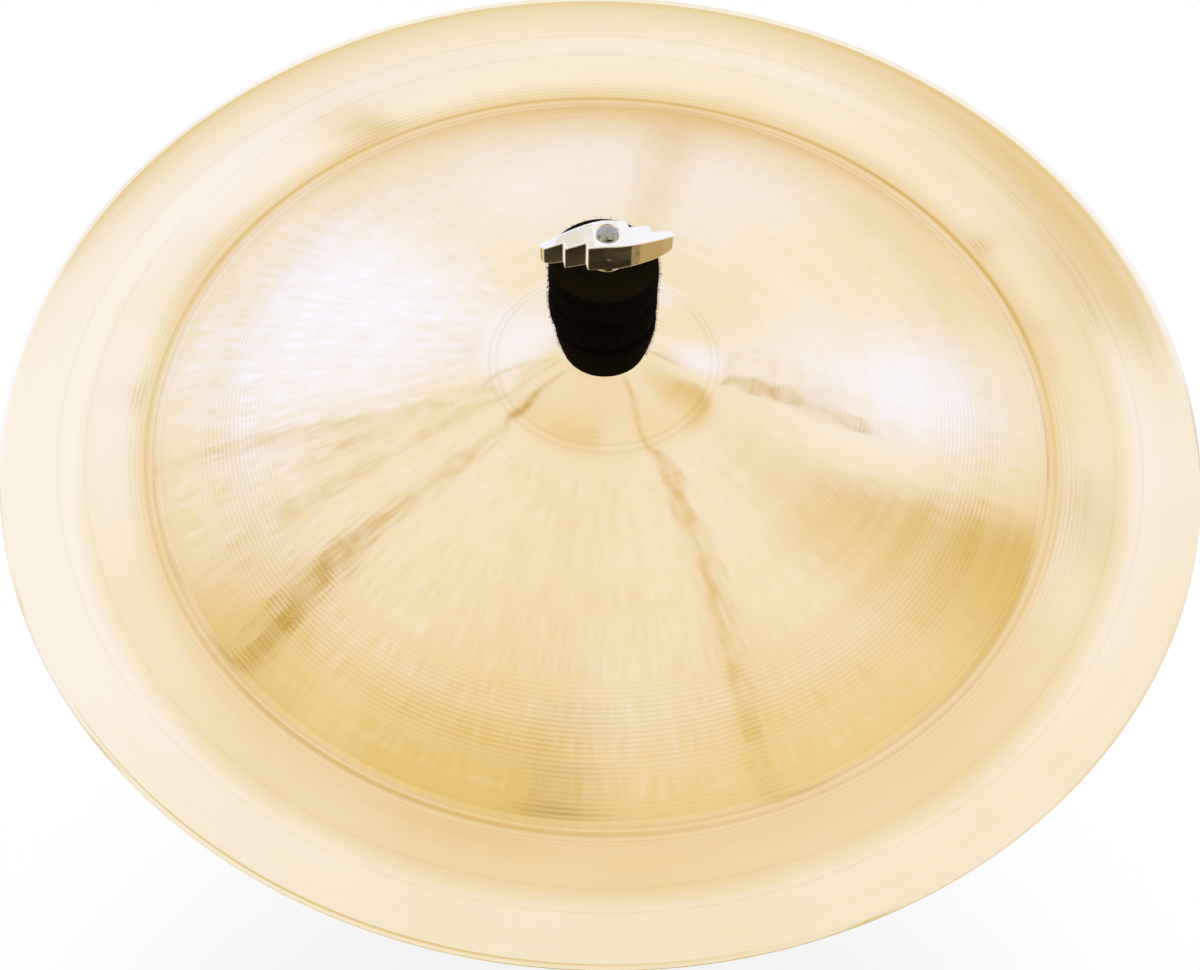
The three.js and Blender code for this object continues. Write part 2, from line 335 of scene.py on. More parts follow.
tent_warm = (0.98, 0.92, 0.70, 1)
tent_cool = (1.02, 1.04, 1.10, 1)
tent_below = (0.80, 0.80, 0.80, 1)
bright_tone = (1.06, 1.20, 1.80, 1)
dim_tone = (0.89, 0.77, 0.47, 1)
tan_tone = (0.86, 0.74, 0.52, 1)
gold_tone = (0.78, 0.62, 0.24, 1)
deep_tone = (0.60, 0.42, 0.05, 1)
low_tone = (0.45, 0.33, 0.12, 1)
flag_tone = (0.006, 0.005, 0.004, 1)
camera_tone = (0.12, 0.10, 0.08, 1)
# Each mark: start and end in plan (x, y of the direction), half width, softness, tone, strength
tent_marks = [
    ((-0.66, 0.62), (-0.42, 0.76), 0.14, 0.13, bright_tone, 1.0),
    ((-0.44, 0.62), (-0.30, 0.70), 0.08, 0.08, bright_tone, 0.5),
    ((-0.66, 0.30), (-0.66, 0.48), 0.10, 0.10, bright_tone, 0.4),
    ((0.36, 0.66), (0.62, 0.62), 0.09, 0.09, bright_tone, 0.4),
    ((0.62, 0.62), (0.84, 0.55), 0.10, 0.10, bright_tone, 0.8),
    ((0.92, 0.50), (0.99, 0.40), 0.10, 0.09, bright_tone, 1.0),
    ((-0.30, 0.97), (0.30, 0.97), 0.06, 0.06, bright_tone, 0.45),
    ((0.05, -0.16), (0.20, -0.12), 0.08, 0.08, bright_tone, 0.25),
    ((0.50, 0.27), (0.74, 0.26), 0.09, 0.08, dim_tone, 0.9),
    ((0.36, 0.38), (0.58, 0.24), 0.08, 0.08, dim_tone, 0.4),
    ((0.0, 0.42), (0.12, 0.36), 0.07, 0.07, dim_tone, 0.45),
    ((-0.60, 0.02), (-0.66, 0.12), 0.09, 0.08, dim_tone, 0.6),
    ((-0.12, -0.24), (-0.40, -0.16), 0.08, 0.08, dim_tone, 0.9),
    ((-0.12, 0.40), (0.01, 0.495), 0.05, 0.015, dim_tone, 0.6),
    ((-0.13, 0.485), (-0.03, 0.515), 0.052, 0.012, gold_tone, 0.95),
    ((-0.27, 0.645), (-0.20, 0.67), 0.022, 0.012, gold_tone, 0.6),
    ((0.12, 0.36), (0.22, 0.41), 0.06, 0.04, bright_tone, 0.3),
    ((0.53, 0.34), (0.70, 0.36), 0.05, 0.03, gold_tone, 0.7),
    ((0.0, 0.84), (0.10, 0.84), 0.09, 0.08, dim_tone, 0.25),
    ((0.06, 0.90), (0.09, 1.0), 0.03, 0.03, tan_tone, 0.4),
    ((-0.29, 0.37), (-0.50, 0.235), 0.010, 0.006, gold_tone, 0.9),
    ((-0.50, 0.235), (-0.60, 0.08), 0.022, 0.008, deep_tone, 0.9),
    ((-0.36, 0.50), (-0.66, 0.48), 0.008, 0.006, gold_tone, 0.7),
    ((-0.32, 0.48), (-0.64, 0.29), 0.008, 0.007, gold_tone, 0.6),
    ((-0.55, 0.43), (-0.62, 0.24), 0.008, 0.006, gold_tone, 0.7),
    ((-0.46, 0.46), (-0.55, 0.43), 0.008, 0.006, gold_tone, 0.7),
    ((0.18, 0.30), (0.24, 0.14), 0.016, 0.008, gold_tone, 0.9),
    ((0.24, 0.14), (0.31, -0.14), 0.013, 0.007, gold_tone, 0.9),
    ((0.34, 0.585), (0.42, 0.553), 0.009, 0.004, deep_tone, 1.0),
    ((0.42, 0.553), (0.51, 0.517), 0.006, 0.004, deep_tone, 1.0),
    ((0.34, 0.66), (0.48, 0.575), 0.005, 0.005, gold_tone, 0.7),
    ((0.51, 0.64), (0.60, 0.58), 0.035, 0.025, bright_tone, 0.6),
    ((0.72, -0.62), (0.78, -0.46), 0.12, 0.06, low_tone, 0.8),
    ((-0.93, -0.15), (-0.92, 0.12), 0.12, 0.06, low_tone, 0.8),
    ((-0.07, -0.43), (-0.02, -0.54), 0.11, 0.05, camera_tone, 0.9),
]
flag = ((-0.02, -0.92), (0.58, -0.72), 0.10, 0.05, flag_tone, 1.0)
warm_until, cool_from, sway_reach = -0.25, 0.42, 0.5
low_from, low_full, low_strength = -0.52, -0.80, 0.85
low_left, low_right, low_right_share = 0.15, 0.75, 0.35
horizon = 0.1

direction = add_node("ShaderNodeTexCoord", tree=tent).outputs["Generated"]
parts = add_node("ShaderNodeSeparateXYZ", {"Vector": direction}).outputs


def marked(colour, start, end, half_width, softness, tone, strength):
    """The tent's colour with one mark over it."""
    mark = use_group(tent_mark, direction, Start=(*start, 0), End=(*end, 0),
                     Half_Width=half_width, Softness=softness)
    return blended_colour(product(mark["Mask"], strength), colour, tone)


sway = noise(direction, 2.4, 3.0, 0.6)
depth_there = maths("ADD", parts["Y"], maths("MULTIPLY_ADD", sway, sway_reach, -sway_reach / 2))
tent_colour = blended_colour(remap(depth_there, warm_until, cool_from), tent_warm, tent_cool)
for mark in tent_marks:
    tent_colour = marked(tent_colour, *mark)
low_front = product(remap(parts["Y"], low_from, low_full),
                    remap(parts["X"], low_left, low_right, 1.0, low_right_share), low_strength)
tent_colour = blended_colour(low_front, tent_colour, low_tone)
tent_colour = marked(tent_colour, *flag)
tent_colour = blended_colour(remap(parts["Z"], -horizon, horizon), tent_below, tent_colour)
tent_light = add_node("ShaderNodeBackground", {"Color": tent_colour, "Strength": 1.0})
backdrop = add_node("ShaderNodeBackground", {"Color": (1, 1, 1, 1), "Strength": 1.0}, tent)
seen = add_node("ShaderNodeLightPath", tree=tent).outputs["Is Camera Ray"]
shown = add_node("ShaderNodeMixShader", {
    0: seen, 1: tent_light.outputs[0], 2: backdrop.outputs[0]})
add_node("ShaderNodeOutputWorld", {"Surface": shown.outputs[0]})

# %% [markdown]
# Two soft boxes stand behind the plate, on the left and on the right, and light the
# felts and the nut. The bronze doesn't mirror them, as the tent's own bright panels
# already stand for what it shows of them.

# %% The soft boxes
box_strength = 1.5
box_colour = (0.93, 0.96, 1.0)


def soft_box(name, place, size):
    """A rectangular area lamp that faces the plate. Its strength is the brightness of its face."""
    lamp = bpy.data.lights.new(name, "AREA")
    lamp.shape = "RECTANGLE"
    lamp.size, lamp.size_y = size
    lamp.energy = box_strength * math.pi * size[0] * size[1]
    lamp.color = box_colour
    box = bpy.data.objects.new(name, lamp)
    box.location = place
    box.rotation_euler = (rim_centre - Vector(place)).to_track_quat("-Z", "Y").to_euler()
    box.visible_glossy = False
    bpy.context.scene.collection.objects.link(box)


soft_box("soft box left", (-1.2, 1.45, 1.1), (0.8, 0.5))
soft_box("soft box right", (1.4, 1.3, 1.25), (0.5, 0.5))
print("studio: light tent with", len(tent_marks), "marks, a flag and two soft boxes")

# %% [markdown]
# The floor is pale and lies far below, as the real plate stands high on its stand.
# Near the plate it is an ordinary pale surface that takes its shadow. Further out the
# camera, the metal and any glass see it as plain white, so it melts into the backdrop.

# %% The floor
floor_depth = -1.6
floor_radius = 6.0
floor_shade = (0.82, 0.83, 0.86, 1)
shadow_reach = 0.3
white_from = 0.9
least_white = 0.6

floor_mesh = bpy.data.meshes.new("floor")
floor_shape = bmesh.new()
bmesh.ops.create_circle(floor_shape, cap_ends=True, segments=96, radius=floor_radius)
bmesh.ops.translate(floor_shape, verts=floor_shape.verts, vec=(0, 0, floor_depth))
floor_shape.to_mesh(floor_mesh)
floor_shape.free()
floor = new_object("floor", floor_mesh)

floor_finish = bpy.data.materials.new("pale floor")
floor_finish.use_nodes = True
tree = floor_finish.node_tree
tree.nodes.clear()
ground = add_node("ShaderNodeTexCoord", tree=tree).outputs["Object"]
far = remap(axis_distance(ground), shadow_reach, white_from, least_white, 1.0)
rays = add_node("ShaderNodeLightPath", tree=tree).outputs
looked_at = maths("MAXIMUM", rays["Is Camera Ray"],
                  maths("MAXIMUM", rays["Is Glossy Ray"], rays["Is Transmission Ray"]))
matte = add_node("ShaderNodeBsdfDiffuse", {"Color": floor_shade}, tree)
white = add_node("ShaderNodeEmission", {"Color": (1, 1, 1, 1), "Strength": 1.0}, tree)
blend = add_node("ShaderNodeMixShader", {
    0: product(far, looked_at), 1: matte.outputs[0], 2: white.outputs[0]})
add_node("ShaderNodeOutputMaterial", {"Surface": blend.outputs[0]})
floor.data.materials.append(floor_finish)

# %% [markdown]
# ## Finishes
#
# The lathe leaves its track on everything that is turned: the plate itself and the
# steel of the stack. So the track is a node group, placed in each of those finishes
# with its own spacing. It only needs the distance from the axis, which Object
# coordinates give. The grooves are a little uneven, so they come from a noise of that
# distance rather than from an even wave.

# %% A shared group: the track of the lathe
lathe_track, given, result = new_tree(
    "lathe track", "ShaderNodeTree",
    {"Vector": "Vector", "Spacing": 1.2 * MM, "Wander": 0.1},
    {"Groove": "Float", "Line": "Float", "Band": "Float", "Radius": "Float"},
)
radius = axis_distance(given["Vector"])
drift = noise(given["Vector"], 9.0, 1.0)
turns = maths("DIVIDE", radius, given["Spacing"])
wandering = maths("MULTIPLY_ADD", drift, given["Wander"], turns)
fine = noise(wandering, 1.0, 2.0, 0.55, dimensions="1D")
broad = noise(wandering, 0.09, 3.0, 0.6, dimensions="1D")
swing = maths("SINE", product(wandering, 2 * math.pi))
even = maths("MULTIPLY_ADD", swing, 0.5, 0.5)
for title, socket in (("Groove", fine), ("Line", even), ("Band", broad), ("Radius", radius)):
    lathe_track.links.new(socket, result[title])


# %% Helpers for finishes
def new_finish(name):
    """An empty material and its Object coordinates."""
    finish = bpy.data.materials.new(name)
    finish.use_nodes = True
    finish.node_tree.nodes.clear()
    return finish, add_node("ShaderNodeTexCoord", tree=finish.node_tree).outputs["Object"]


def surface(**inputs):
    """A Principled shader linked to the material's output."""
    shader = add_node("ShaderNodeBsdfPrincipled",
                      {name.replace("_", " "): value for name, value in inputs.items()})
    add_node("ShaderNodeOutputMaterial", {"Surface": shader.outputs[0]})


# %% [markdown]
# Cast, rolled and polished bronze is nearly a mirror, but the lathe scratches it only
# round the axis. Light is therefore spread outwards and inwards far more than round
# the plate, which is why a cymbal shows rays. In the shader this is anisotropy with a
# tangent that runs round the axis.
#
# The lathe also leaves rings of different tone: the outer bow and the crease are the
# deepest gold, the flange is palest. A ramp over the radius gives that. Towards the
# back left the flange is painted paler still, a painted highlight of the bright light
# on that side. Between the rings of hammer marks the polish is uneven in short dashes
# that point outwards, and most so on one side. They come from a noise whose
# coordinates run round the plate and outwards, so it has no seam.

# %% The bronze: its tone
bronze, place = new_finish("polished bronze")
bronze_pale = (0.95, 0.85, 0.69, 1)
bronze_deep = (0.86, 0.66, 0.34, 1)
ramp_reach = 230
# Radius in millimetres, and how pale the bronze is there
tone_rings = [(8, 0.28), (45, 0.47), (100, 0.57), (138, 0.43), (155, 0.18), (168, 0.02),
              (177, 0.06), (187, 0.42), (199, 0.45), (206, 1.0), (220, 0.92), (228, 1.0)]
first_row, row_pitch = 57 * MM, 13.2 * MM
rows_begin, rows_end = (44 * MM, 60 * MM), (165 * MM, 180 * MM)
dashes_outwards, finer_from = 75.0, (70 * MM, 125 * MM)
rough_side = (-0.8, -0.6, 0.0)
flange_from, flange_full = 176 * MM, 186 * MM
painted_bright_side, bright_side_swing, bright_side_lift = (-0.5, 0.87, 0.0), 0.5, 0.12

track = use_group(lathe_track, place, Spacing=1.63 * MM, Wander=0.35)
radius = track["Radius"]
plate_share = remap(radius, 0.0, ramp_reach * MM, kind="LINEAR")
rings = add_node("ShaderNodeValToRGB", {"Fac": plate_share})
for index, (ring, pale) in enumerate(tone_rings):
    stops = rings.color_ramp.elements
    stop = stops[0] if index == 0 else stops.new(ring / ramp_reach)
    stop.position = ring / ramp_reach
    stop.color = (pale, pale, pale, 1)
stops.remove(stops[-1])

heading = heading_of(place)
outwards = upright(product(radius, dashes_outwards))


def dash_noise(crowding):
    """A noise that runs round the plate and outwards, with a number of cells to a radian."""
    where = vector_maths("MULTIPLY_ADD", heading, (crowding, crowding, crowding), outwards)
    return noise(where, 1.0, 0.6)


def centred(value):
    """A noise's value, moved so that it swings about zero."""
    return maths("SUBTRACT", value, 0.5)


coarse = dash_noise(20)
finer = maths("SUBTRACT", dash_noise(50), coarse)
dashes = maths("MULTIPLY_ADD", finer, remap(radius, *finer_from), coarse)
row_turn = product(maths("SUBTRACT", radius, first_row), 2 * math.pi / row_pitch)
in_row = maths("MULTIPLY_ADD", maths("COSINE", row_turn), 0.35, 0.65)
on_rough_side = remap(dot(heading, rough_side), -0.4, 0.8, 0.35, 1.0)
hammered_zone = product(remap(radius, *rows_begin), remap(radius, *rows_end, 1.0, 0.15),
                        on_rough_side, in_row)
tint = maths("MULTIPLY_ADD", centred(noise(place, 14.0, 3.0)), 0.5, rings.outputs["Color"])
tint = maths("MULTIPLY_ADD", centred(track["Band"]), 0.5, tint)
tint = maths("MULTIPLY_ADD", centred(dashes), product(hammered_zone, 0.9), tint)
# Painted highlight: the flange is made paler towards the back left, by its heading alone.
paler = maths("MULTIPLY_ADD", dot(heading, painted_bright_side), bright_side_swing, bright_side_lift)
tint = maths("MULTIPLY_ADD", paler, remap(radius, flange_from, flange_full), tint)
tone = blended_colour(remap(tint, 0.0, 1.0, kind="LINEAR"), bronze_deep, bronze_pale)

# %% [markdown]
# Grooves catch a little dirt and shadow, so they are drawn as fine darker lines where
# the photograph shows them, and as a bump. A few single lines are turned at the crease
# and on the flange.

# %% The bronze: its grooves
bronze_groove = (0.62, 0.40, 0.13, 1)
# Radius and reach in millimetres, and strength, of each single line
single_lines = [(40.6, 1.2, 0.16), (43.2, 1.2, 0.16), (171.0, 1.0, 0.15), (174.2, 1.2, 0.35),
                (177.2, 1.2, 0.35), (198.5, 0.8, 0.1), (208.0, 0.8, 0.1)]


def near_ring(ring, reach):
    """1 at a ring of the plate, falling to 0 at a reach on both sides, in millimetres."""
    away_from = maths("ABSOLUTE", maths("SUBTRACT", radius, ring * MM))
    return remap(away_from, 0.0, reach * MM, 1.0, 0.0)


line_zone = maths("MAXIMUM", near_ring(144, 24), near_ring(176, 14))
lines = product(track["Line"], maths("MULTIPLY_ADD", line_zone, 0.85, 0.15))
darker = product(lines, 0.16)
for ring, reach, strength in single_lines:
    darker = maths("MAXIMUM", darker, product(near_ring(ring, reach), strength))
tone = blended_colour(darker, tone, bronze_groove)

strokes = bump(product(centred(dashes), hammered_zone), 0.035 * MM)
grooves = bump(maths("ADD", product(track["Groove"], 0.5), lines), 0.02 * MM, 1.0, strokes)
gloss = remap(track["Band"], 0.3, 0.7, 0.10, 0.17)
around = add_node("ShaderNodeTangent", tree=place.id_data, direction_type="RADIAL", axis="Z")
surface(Base_Color=tone, Metallic=1.0, Roughness=gloss, Anisotropic=0.9,
        Anisotropic_Rotation=0.25, Normal=grooves, Tangent=around.outputs["Tangent"])

# %% [markdown]
# ## Turned pieces
#
# The plate, the cup, the sleeve and the felts all follow one rule: an outline turned
# round the axis. A lathe in Geometry Nodes does that. The outline is drawn as a closed
# line of radius and height, and Curve to Mesh sweeps it along a circle. Each of the
# circle's points carries the outline outwards, so the circle's own radius is taken off
# first.

# %% A lathe in Geometry Nodes
lathe, given, result = new_tree(
    "lathe", "GeometryNodeTree",
    {"Outline": "Geometry", "Segments": 64, "Hub Radius": 50 * MM, "Material": "Material"},
    {"Geometry": "Geometry"},
)
inwards = add_node("ShaderNodeCombineXYZ", {"X": product(given["Hub Radius"], -1.0)})
outline = add_node("GeometryNodeMeshToCurve", {"Mesh": given["Outline"]})
moved = add_node("GeometryNodeTransform", {
    "Geometry": outline.outputs["Curve"], "Translation": inwards.outputs["Vector"],
    "Scale": (1, -1, 1)})
hub = add_node("GeometryNodeCurvePrimitiveCircle", {
    "Resolution": given["Segments"], "Radius": given["Hub Radius"]})
swept = add_node("GeometryNodeCurveToMesh", {
    "Curve": hub.outputs["Curve"], "Profile Curve": moved.outputs["Geometry"]})
welded = add_node("GeometryNodeMergeByDistance", {
    "Geometry": swept.outputs["Mesh"], "Distance": 0.001 * MM})
smooth = add_node("GeometryNodeSetShadeSmooth", {"Geometry": welded.outputs["Geometry"]})
end_tree(smooth.outputs["Geometry"], given, result)


def turned(name, outline, segments, material):
    """Turns an outline of (radius, height) points. It stays open where it meets the axis."""
    points = np.array(outline)
    reaches_axis = points[0, 0] == 0 and points[-1, 0] == 0
    after = np.roll(points, -1, axis=0)
    area = (points[:, 0] * after[:, 1] - after[:, 0] * points[:, 1]).sum() / 2
    if area > 0:
        points = points[::-1]
    count = len(points)
    mesh = bpy.data.meshes.new(name)
    edges = [(index, (index + 1) % count) for index in range(count - reaches_axis)]
    mesh.from_pydata([(x, y, 0) for x, y in points], edges, [])
    thing = new_object(name, mesh)
    run_tree(thing, lathe, {"Segments": segments, "Material": material})
    report(thing)
    return thing


# %% [markdown]
# ## The plate
#
# The plate's shape follows a rule too. A shallow dome makes the bell, a slightly
# bulged cone makes the bow, and a second one makes the flange. Where two of them meet,
# the higher one wins and the corner is filled in softly. The wall is thickest at the
# hole and thinnest at the rim.

# %% The rule of the plate
plate_radius = 228.6 * MM
hole_radius = 6.25 * MM
dome_radius = 91.5 * MM
bell_base_radius = 42 * MM
crease_radius = 176 * MM
bell_top = 40.5 * MM
bow_top = 29.8 * MM
crease_level = -6.1 * MM
rim_level = 9.0 * MM
bow_camber = 3.5 * MM
flange_camber = 1.5 * MM
bell_blend = 2.0 * MM
crease_blend = 3.2 * MM
wall_at_axis = 1.2 * MM
wall_at_rim = 0.7 * MM
crease_zone = 14 * MM


def dome_height(radius):
    """Height of the bell's dome. Beyond the dome it stays at its lowest."""
    within = np.minimum(radius, 0.9 * dome_radius)
    return bell_top - dome_radius + np.sqrt(dome_radius ** 2 - within ** 2)


def cone_height(radius, inner, outer, inner_height, outer_height, camber):
    """Height along a bulged cone between two rings."""
    share = (radius - inner) / (outer - inner)
    return inner_height + (outer_height - inner_height) * share + 4 * camber * share * (1 - share)


def softly_higher(first, second, blend):
    """The higher of two heights, with the corner between them filled in."""
    overlap = np.maximum(blend - np.abs(first - second), 0) / blend
    return np.maximum(first, second) + overlap ** 2 * blend / 4


def plate_height(radius):
    """Height of the plate's upper face at a radius."""
    bow = cone_height(radius, bell_base_radius, crease_radius, bow_top, crease_level, bow_camber)
    flange = cone_height(radius, crease_radius, plate_radius, crease_level, rim_level,
                         flange_camber)
    inner = softly_higher(dome_height(radius), bow, bell_blend)
    outer = softly_higher(bow, flange, crease_blend)
    return np.where(radius < crease_radius - crease_zone, inner, outer)


def plate_wall(radius):
    """Thickness of the plate at a radius."""
    return wall_at_axis + (wall_at_rim - wall_at_axis) * radius / plate_radius


# %% [markdown]
# The outline steps finely where the plate curves, at the bell's foot and at the
# crease, and coarsely along the straight parts. The underside may be coarser still.
# At the hole and at the rim the edge is rounded.

# %% The plate's outline
def spread(stations):
    """Radii from (end radius, steps) pairs, evenly stepped between the ends."""
    radii = [stations[0][0]]
    for end, steps in stations[1:]:
        radii += list(np.linspace(radii[-1], end, steps + 1)[1:])
    return np.array(radii)


edge_round = 0.22 * MM
upper_radii = spread([(hole_radius + edge_round, 0), (38 * MM, 13), (46 * MM, 8),
                      (169 * MM, 64), (183 * MM, 12), (plate_radius - edge_round, 18)])
lower_radii = spread([(hole_radius + edge_round, 0), (38 * MM, 6), (46 * MM, 5),
                      (169 * MM, 22), (183 * MM, 7), (plate_radius - edge_round, 7)])


def lip(radius, side):
    """Points of the rounded edge at the hole (side -1) or at the rim (side 1)."""
    inner = radius - side * edge_round
    top = plate_height(inner) - edge_round
    bottom = plate_height(inner) - plate_wall(inner) + edge_round
    points = [(inner + side * edge_round * math.cos(a), top + edge_round * math.sin(a))
              for a in (math.radians(45), 0)]
    return points + [(x, bottom - (z - top)) for x, z in reversed(points)]


upper = [(r, plate_height(r)) for r in upper_radii]
lower = [(r, plate_height(r) - plate_wall(r)) for r in lower_radii]
plate_outline = upper + lip(plate_radius, 1) + lower[::-1] + lip(hole_radius, -1)[::-1]
plate_segments = 576
cymbal = turned("cymbal_plate", plate_outline, plate_segments, bronze)

# %% [markdown]
# The plate is hammered before it is polished. The marks lie in rings, one stroke
# beside the next, and they never come out quite even. Each ring is a circle that is
# cut into points as far apart as the strokes. Every vertex then looks for the nearest
# stroke and sinks a little, more the nearer it is. Both faces sink alike, because the
# sheet is thin. A slow wave over the whole plate stands for what the hammer does to
# its tension.

# %% Hammer marks in Geometry Nodes
hammer_rings = [57, 70, 83, 97, 111, 124, 137, 150, 161]
calm_centre, calm_crease = 40 * MM, (3 * MM, 16 * MM)
hammer, given, result = new_tree(
    "hammer marks", "GeometryNodeTree",
    {"Geometry": "Geometry", "Stroke Spacing": 9 * MM, "Mark Radius": 6 * MM,
     "Mark Depth": 0.05 * MM, "Scatter": 1.2 * MM, "Wave Height": 0.1 * MM, "Wave Scale": 12.0,
     "Seed": 7, "Material": "Material"},
    {"Geometry": "Geometry"},
)
rings = add_node("GeometryNodeJoinGeometry", tree=hammer)
for ring in hammer_rings:
    circle = add_node("GeometryNodeCurvePrimitiveCircle", {
        "Resolution": 256, "Radius": ring * MM}, hammer)
    hammer.links.new(circle.outputs["Curve"], rings.inputs[0])
strokes = add_node("GeometryNodeCurveToPoints", {
    "Curve": rings.outputs[0], "Length": given["Stroke Spacing"]}, mode="LENGTH")
far_side = add_node("ShaderNodeCombineXYZ", {
    "X": given["Scatter"], "Y": given["Scatter"]}).outputs["Vector"]
near_side = vector_maths("MULTIPLY", far_side, (-1, -1, -1))
jitter = add_node("FunctionNodeRandomValue", {
    0: near_side, 1: far_side, 8: given["Seed"]}, data_type="FLOAT_VECTOR").outputs[0]
strewn = shifted(strokes.outputs["Points"], jitter)

here = add_node("GeometryNodeInputPosition", tree=hammer).outputs[0]
plan = flattened(here)
nearest = add_node("GeometryNodeSampleNearest", {
    "Geometry": strewn, "Sample Position": plan}, domain="POINT").outputs["Index"]
stroke_place = add_node("GeometryNodeSampleIndex", {
    "Geometry": strewn, "Value": here, "Index": nearest},
    data_type="FLOAT_VECTOR", domain="POINT").outputs["Value"]
distance = vector_maths("DISTANCE", plan, stroke_place, output="Value")
share = maths("DIVIDE", distance, given["Mark Radius"])
inside = maths("MAXIMUM", maths("SUBTRACT", 1.0, product(share, share)), 0.0)
force = add_node("FunctionNodeRandomValue", {
    2: 0.35, 3: 1.0, 7: nearest, 8: given["Seed"]}, data_type="FLOAT").outputs[1]
dent = product(inside, inside, product(force, given["Mark Depth"]))

plan_radius = axis_distance(here)
from_crease = maths("ABSOLUTE", maths("SUBTRACT", plan_radius, crease_radius))
calm = product(remap(plan_radius, hole_radius, calm_centre), remap(from_crease, *calm_crease))
ripple = noise(plan, given["Wave Scale"])
wave = product(maths("SUBTRACT", ripple, 0.5), calm, given["Wave Height"])
lift = upright(maths("SUBTRACT", wave, dent))
end_tree(shifted(given["Geometry"], lift), given, result)

run_tree(cymbal, hammer, {"Material": bronze})
report(cymbal)
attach(cymbal, "cymbal")
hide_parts("cymbal")

# %% [markdown]
# ## More finishes
#
# Three effects return in several of the small pieces: bright worn edges, fine
# scratches and a cloudy unevenness. The first two are node groups. Edge wear comes
# from how sharply the surface turns, which the Pointiness output gives.

# %% Shared groups: worn edges and fine scratches
edge_wear, given, result = new_tree(
    "edge wear", "ShaderNodeTree",
    {"Vector": "Vector", "Reach": 0.06, "Patch Scale": 400.0}, {"Mask": "Float"})
turning_point = add_node("ShaderNodeNewGeometry", tree=edge_wear).outputs["Pointiness"]
sharp = remap(turning_point, 0.5, maths("ADD", given["Reach"], 0.5))
patches = noise(given["Vector"], given["Patch Scale"])
edge_wear.links.new(product(sharp, remap(patches, 0.3, 0.6)), result["Mask"])

fine_scratches, given, result = new_tree(
    "fine scratches", "ShaderNodeTree",
    {"Vector": "Vector", "Scale": 300.0}, {"Scratch": "Float", "Cloud": "Float"})
one_way = stretched(given["Vector"], (0.3, 0.2, 0.7), (1.0, 0.06, 0.3))
lines = noise(one_way, given["Scale"], 3.0, 0.7)
fine_scratches.links.new(remap(lines, 0.45, 0.75), result["Scratch"])
soft = noise(given["Vector"], product(given["Scale"], 0.25))
fine_scratches.links.new(soft, result["Cloud"])

# %% [markdown]
# Chrome on a die casting is almost a mirror, but the casting below it is never quite
# flat. A slow bump bends its reflections, and the plating is thinner and a little
# duller here and there.

# %% Chrome
chrome, place = new_finish("chrome plate")
marks = use_group(fine_scratches, place, Scale=420.0)
worn = use_group(edge_wear, place, Reach=0.08)["Mask"]
casting = bump(noise(place, 190.0), 0.12 * MM, 0.6)
surface(Metallic=1.0, Roughness=remap(marks["Cloud"], 0.35, 0.65, 0.05, 0.13),
        Base_Color=blended_colour(worn, (0.90, 0.87, 0.82, 1), (0.94, 0.91, 0.87, 1)),
        Normal=bump(marks["Scratch"], 0.004 * MM, 0.5, casting))

# %% [markdown]
# The rod, its nut and the cup are zinc plated steel. Zinc is greyer than chrome and
# has a cloudy, faintly warm bloom. It wears to brighter steel along the edges. The
# track of the lathe is plain on the turned cup and hardly there on the other two.

# %% Zinc plated steel
def zinc(name, groove_depth, smoothest, dullest, shade):
    """A zinc finish, by the depth of its grooves, its roughness and its shade."""
    finish, place = new_finish(name)
    marks = use_group(fine_scratches, place, Scale=260.0)
    worn = use_group(edge_wear, place, Reach=0.07)["Mask"]
    track = use_group(lathe_track, place, Spacing=0.35 * MM, Wander=0.6)
    darker = (0.75 * shade, 0.74 * shade, 0.68 * shade, 1)
    paler = (shade, 0.97 * shade, 0.88 * shade, 1)
    bloom = blended_colour(marks["Cloud"], darker, paler)
    surface(Base_Color=blended_colour(worn, bloom, (0.72, 0.71, 0.69, 1)),
            Metallic=1.0, Roughness=remap(marks["Cloud"], 0.3, 0.7, smoothest, dullest),
            Normal=bump(marks["Scratch"], 0.01 * MM, 0.5, bump(track["Groove"], groove_depth)))
    return finish


# The rod and its nut take a darker zinc than the cup: painted shade, standing in for the dark
# reflections on the rod's tip.
rod_steel = zinc("zinc steel rod", 0.002 * MM, 0.06, 0.12, 0.38)
cup_steel = zinc("zinc steel cup", 0.02 * MM, 0.24, 0.42, 0.56)

# %% [markdown]
# The sleeve is moulded black nylon, with a fine satin grain and rubbed places that
# are a little glossier.

# %% Black nylon
nylon, place = new_finish("black nylon")
rubbed_and_lit = noise(place, 90.0)
surface(Base_Color=blended_colour(rubbed_and_lit, (0.012, 0.012, 0.013, 1), (0.022, 0.022, 0.024, 1)),
        Roughness=remap(rubbed_and_lit, 0.35, 0.65, 0.5, 0.36),
        Normal=bump(noise(place, 2600.0, 1.0), 0.03 * MM, 0.5))

# %% [markdown]
# Felt is a mat of wool fibres. Close up it is a tangle of threads that lie in every
# direction, with lint caught in it. Two stretched noises, crossed, give the tangle,
# and a sheen gives the pale bloom that a napped cloth shows at its edges. The top of
# the stack is painted paler and warmer, painted light from above, and the felt is
# also a little paler towards its foot.

# %% Black felt
felt, place = new_finish("black felt")
felt_deep, felt_thread = (0.002, 0.001, 0.0006, 1), (0.009, 0.0055, 0.0025, 1)
felt_matted, felt_lit_tone = (0.003, 0.0018, 0.001, 1), (0.016, 0.011, 0.003, 1)
lit_top, paler_foot = (84.6 * MM, 86.2 * MM), (50 * MM, 60 * MM)

